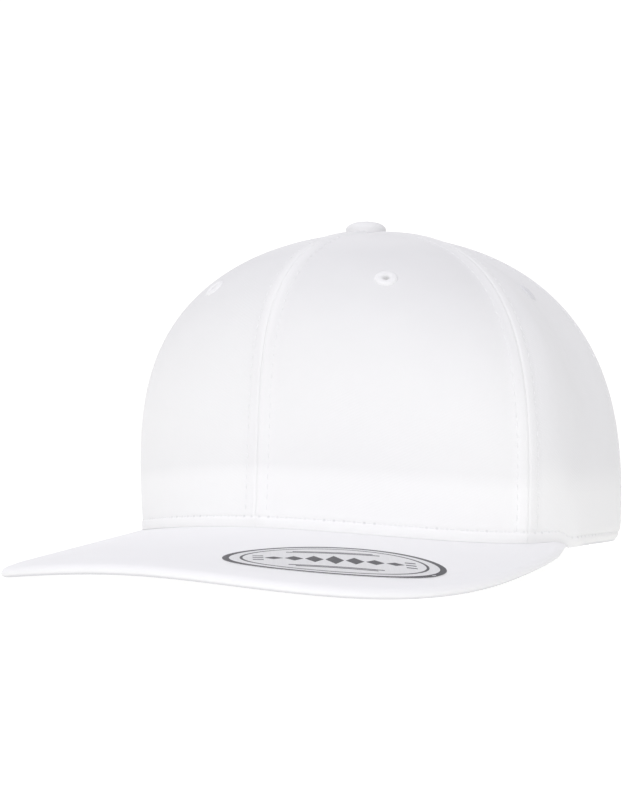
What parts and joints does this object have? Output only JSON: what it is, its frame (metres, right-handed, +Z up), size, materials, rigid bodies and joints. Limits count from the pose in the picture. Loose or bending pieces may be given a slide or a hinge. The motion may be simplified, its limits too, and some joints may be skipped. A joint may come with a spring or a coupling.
{
  "type": "snapback cap",
  "caption": "Six-panel cap with a stiff, slightly arched peak, stitched eyelets, a covered button and a snap strap across an arched back opening.",
  "frame": {"origin": "on the surface that the cap rests on, under the middle of its length and width", "axes": "+Z up, the peak points along -Y, +X is the wearer's left"},
  "size_m": [0.1744, 0.2516, 0.1238],
  "materials": {
    "front_cloth": "brushed cotton twill, stiff, matt",
    "soft_cloth": "brushed cotton twill, soft, matt",
    "thread": "satin embroidery thread",
    "button_cloth": "cotton twill over a button",
    "peak_cloth": "cotton twill over a stiff board, matt",
    "band_cloth": "cotton tape, matt",
    "strap_plastic": "moulded plastic, satin",
    "sticker_film": "metallised film, satin"
  },
  "bodies": {
    "root": {"panel_front_left": "front_cloth", "panel_front_right": "front_cloth", "panel_side_left": "soft_cloth", "panel_side_right": "soft_cloth", "panel_back_left": "soft_cloth", "panel_back_right": "soft_cloth", "eyelet_front_left": "thread", "eyelet_front_right": "thread", "eyelet_side_left": "thread", "eyelet_side_right": "thread", "eyelet_back_left": "thread", "eyelet_back_right": "thread", "button": "button_cloth", "peak": "peak_cloth", "sweatband": "band_cloth", "snap_strap": "strap_plastic", "sticker": "sticker_film"}
  },
  "joints": []
}
